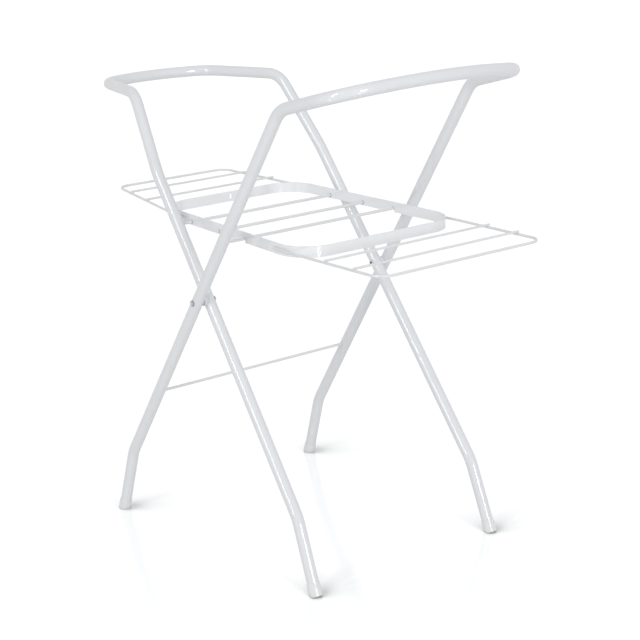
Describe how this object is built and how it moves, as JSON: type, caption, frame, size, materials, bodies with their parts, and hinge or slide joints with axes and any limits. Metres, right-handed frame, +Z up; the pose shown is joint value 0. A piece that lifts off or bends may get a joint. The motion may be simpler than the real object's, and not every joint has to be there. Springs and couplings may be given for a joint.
{
  "type": "folding baby bath stand",
  "caption": "Folding stand for a baby bath: crossed bent tube frames with handles and plastic feet, and a hinged strip hoop rack with wire wings that hooks over a rod.",
  "frame": {"origin": "on the floor, under the middle of the scissor pivot axis", "axes": "+Z up, X along the pivot axis, +Y towards the narrow handle at the back"},
  "size_m": [0.5026, 0.9722, 0.9256],
  "materials": {
    "frame_coat": "glossy white powder coat",
    "rack_coat": "glossy white powder coat",
    "rivet_steel": "zinc plated steel",
    "foot_plastic": "off-white plastic, slightly worn",
    "spacer_plastic": "bluish grey plastic"
  },
  "bodies": {
    "inner_frame": {"inner_frame_tube": "frame_coat", "front_left_foot": "foot_plastic", "front_right_foot": "foot_plastic", "pivot_rivet_left": "rivet_steel", "pivot_rivet_right": "rivet_steel", "pivot_spacer_left": "spacer_plastic", "pivot_spacer_right": "spacer_plastic", "rack_hinge_rod": "frame_coat"},
    "outer_frame": {"outer_frame_tube": "frame_coat", "back_left_foot": "foot_plastic", "back_right_foot": "foot_plastic", "rack_catch_rod": "frame_coat", "lower_stretcher_rod": "frame_coat"},
    "rack": {"rack_hoop": "rack_coat", "rack_centre_wire": "rack_coat", "front_wing_rim": "rack_coat", "front_wing_wire_inner": "rack_coat", "front_wing_wire_outer": "rack_coat", "back_wing_rim": "rack_coat", "back_wing_wire_inner": "rack_coat", "back_wing_wire_outer": "rack_coat"}
  },
  "joints": [
    {"name": "frame_fold", "type": "hinge", "parent": "inner_frame", "child": "outer_frame", "pos_m": [0, 0, 0.49], "axis": [-1, 0, 0], "range_deg": [0, 66]},
    {"name": "rack_lift", "type": "hinge", "parent": "inner_frame", "child": "rack", "pos_m": [0, 0.09323, 0.6188], "axis": [-1, 0, 0], "range_deg": [0, 97]}
  ],
  "couplings": [
    {"joint": "rack_lift", "follows": "frame_fold", "ratio": 1.46}
  ]
}
